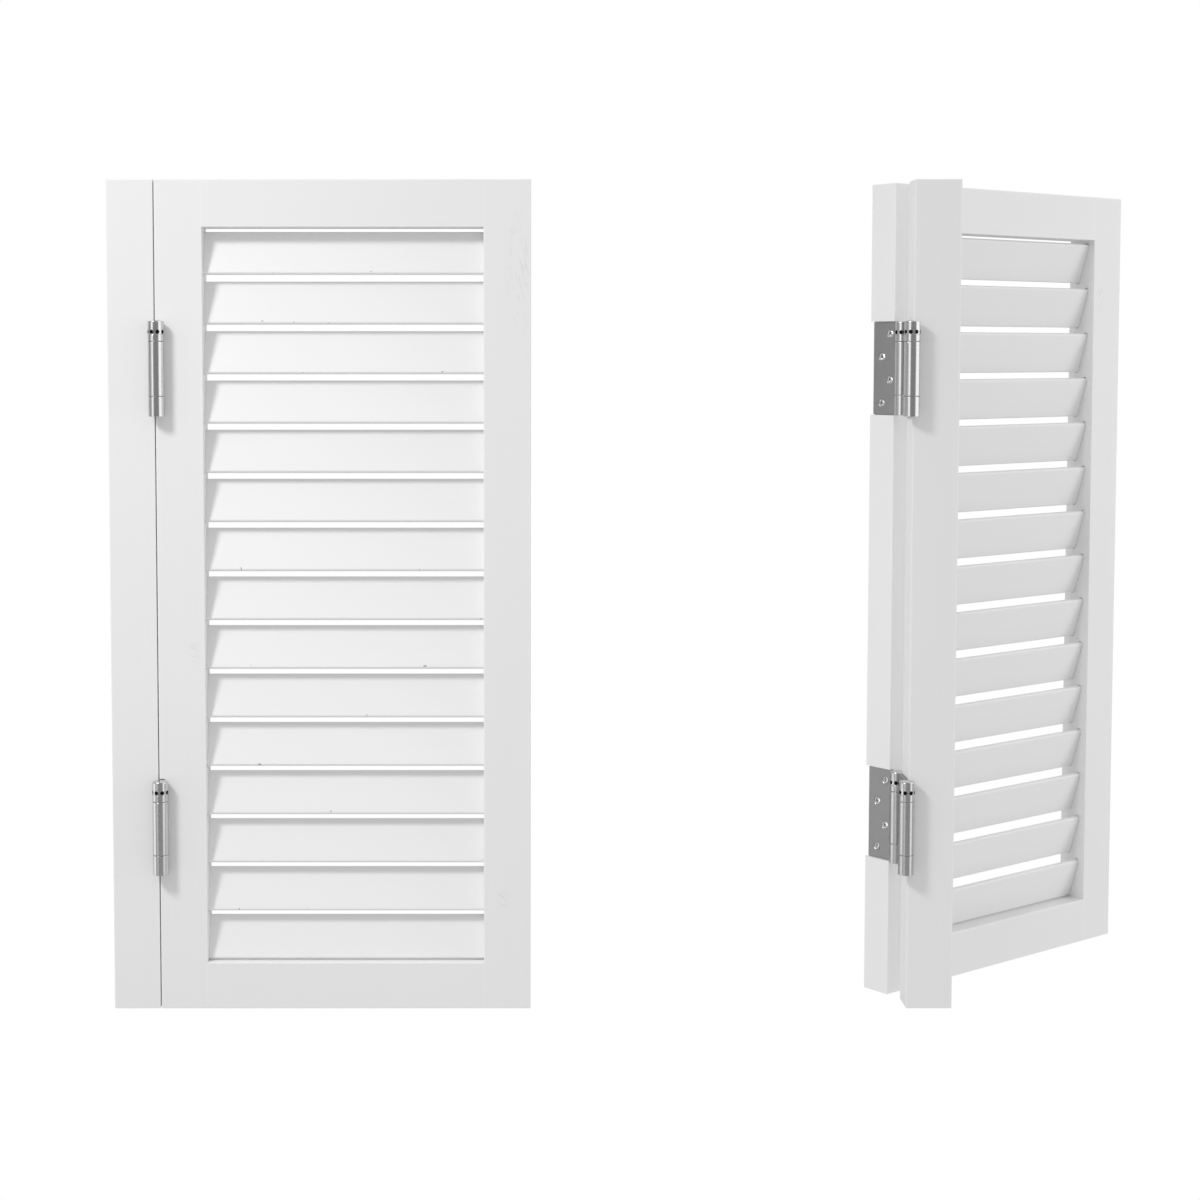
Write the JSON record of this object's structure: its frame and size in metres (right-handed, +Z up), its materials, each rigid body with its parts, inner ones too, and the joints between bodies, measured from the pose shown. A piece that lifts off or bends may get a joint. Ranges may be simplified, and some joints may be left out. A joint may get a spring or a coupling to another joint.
{
  "type": "cafe swinging doors",
  "caption": "Pair of white louvred cafe doors, each hung from its own post on double-acting spring hinges; one leaf closed, the other swung open behind its post.",
  "frame": {"origin": "centre of the left post's wall face, half way up the doors", "axes": "+X to the right across the opening, towards the right post's wall face; +Y away from the front, the way the right leaf stands open; +Z up"},
  "size_m": [1.1698, 0.3437, 0.9],
  "materials": {
    "frame_paint": "smooth satin white paint on wood",
    "slat_paint": "smooth satin white paint on wood",
    "hinge_steel": "brushed stainless steel, polished round the barrels",
    "inner_steel": "plain turned steel",
    "spring_steel": "oiled spring wire",
    "bush_nylon": "dark nylon",
    "screw_steel": "stainless steel"
  },
  "bodies": {
    "posts": {"left_post": "frame_paint", "left_hinge_post_plates": "hinge_steel", "left_post_plate_screws": "screw_steel", "right_post": "frame_paint", "right_hinge_post_plates": "hinge_steel", "right_post_plate_screws": "screw_steel"},
    "left_hinge_links": {"left_hinge_middle_plates": "hinge_steel", "left_hinge_spindles": "inner_steel", "left_hinge_plugs": "inner_steel", "left_hinge_collars": "hinge_steel", "left_hinge_bushes": "bush_nylon", "left_hinge_springs": "spring_steel"},
    "left_leaf": {"left_hinge_stile": "frame_paint", "left_free_stile": "frame_paint", "left_top_rail": "frame_paint", "left_bottom_rail": "frame_paint", "left_slat_01": "slat_paint", "left_slat_02": "slat_paint", "left_slat_03": "slat_paint", "left_slat_04": "slat_paint", "left_slat_05": "slat_paint", "left_slat_06": "slat_paint", "left_slat_07": "slat_paint", "left_slat_08": "slat_paint", "left_slat_09": "slat_paint", "left_slat_10": "slat_paint", "left_slat_11": "slat_paint", "left_slat_12": "slat_paint", "left_slat_13": "slat_paint", "left_slat_14": "slat_paint", "left_slat_15": "slat_paint", "left_hinge_leaf_plates": "hinge_steel", "left_leaf_plate_screws": "screw_steel"},
    "right_hinge_links": {"right_hinge_middle_plates": "hinge_steel", "right_hinge_spindles": "inner_steel", "right_hinge_plugs": "inner_steel", "right_hinge_collars": "hinge_steel", "right_hinge_bushes": "bush_nylon", "right_hinge_springs": "spring_steel"},
    "right_leaf": {"right_hinge_stile": "frame_paint", "right_free_stile": "frame_paint", "right_top_rail": "frame_paint", "right_bottom_rail": "frame_paint", "right_slat_01": "slat_paint", "right_slat_02": "slat_paint", "right_slat_03": "slat_paint", "right_slat_04": "slat_paint", "right_slat_05": "slat_paint", "right_slat_06": "slat_paint", "right_slat_07": "slat_paint", "right_slat_08": "slat_paint", "right_slat_09": "slat_paint", "right_slat_10": "slat_paint", "right_slat_11": "slat_paint", "right_slat_12": "slat_paint", "right_slat_13": "slat_paint", "right_slat_14": "slat_paint", "right_slat_15": "slat_paint", "right_hinge_leaf_plates": "hinge_steel", "right_leaf_plate_screws": "screw_steel"}
  },
  "joints": [
    {"name": "left_back_swing", "type": "hinge", "parent": "posts", "child": "left_hinge_links", "pos_m": [0.0535, 0.027, 0], "axis": [0, 0, 1], "range_deg": [0, 150], "stiffness_Nm_per_rad": 1.6, "springref_deg": -20.05},
    {"name": "left_front_swing", "type": "hinge", "parent": "left_hinge_links", "child": "left_leaf", "pos_m": [0.0535, -0.027, 0], "axis": [0, 0, -1], "range_deg": [0, 150], "stiffness_Nm_per_rad": 1.6, "springref_deg": -20.05},
    {"name": "right_front_swing", "type": "hinge", "parent": "posts", "child": "right_hinge_links", "pos_m": [0.8605, -0.027, 0], "axis": [0, 0, 1], "range_deg": [0, 150], "stiffness_Nm_per_rad": 1.6, "springref_deg": -20.05},
    {"name": "right_back_swing", "type": "hinge", "parent": "right_hinge_links", "child": "right_leaf", "pos_m": [0.8605, 0.027, 0], "axis": [0, 0, -1], "range_deg": [-142, 8], "stiffness_Nm_per_rad": 1.6, "springref_deg": -162.06}
  ]
}
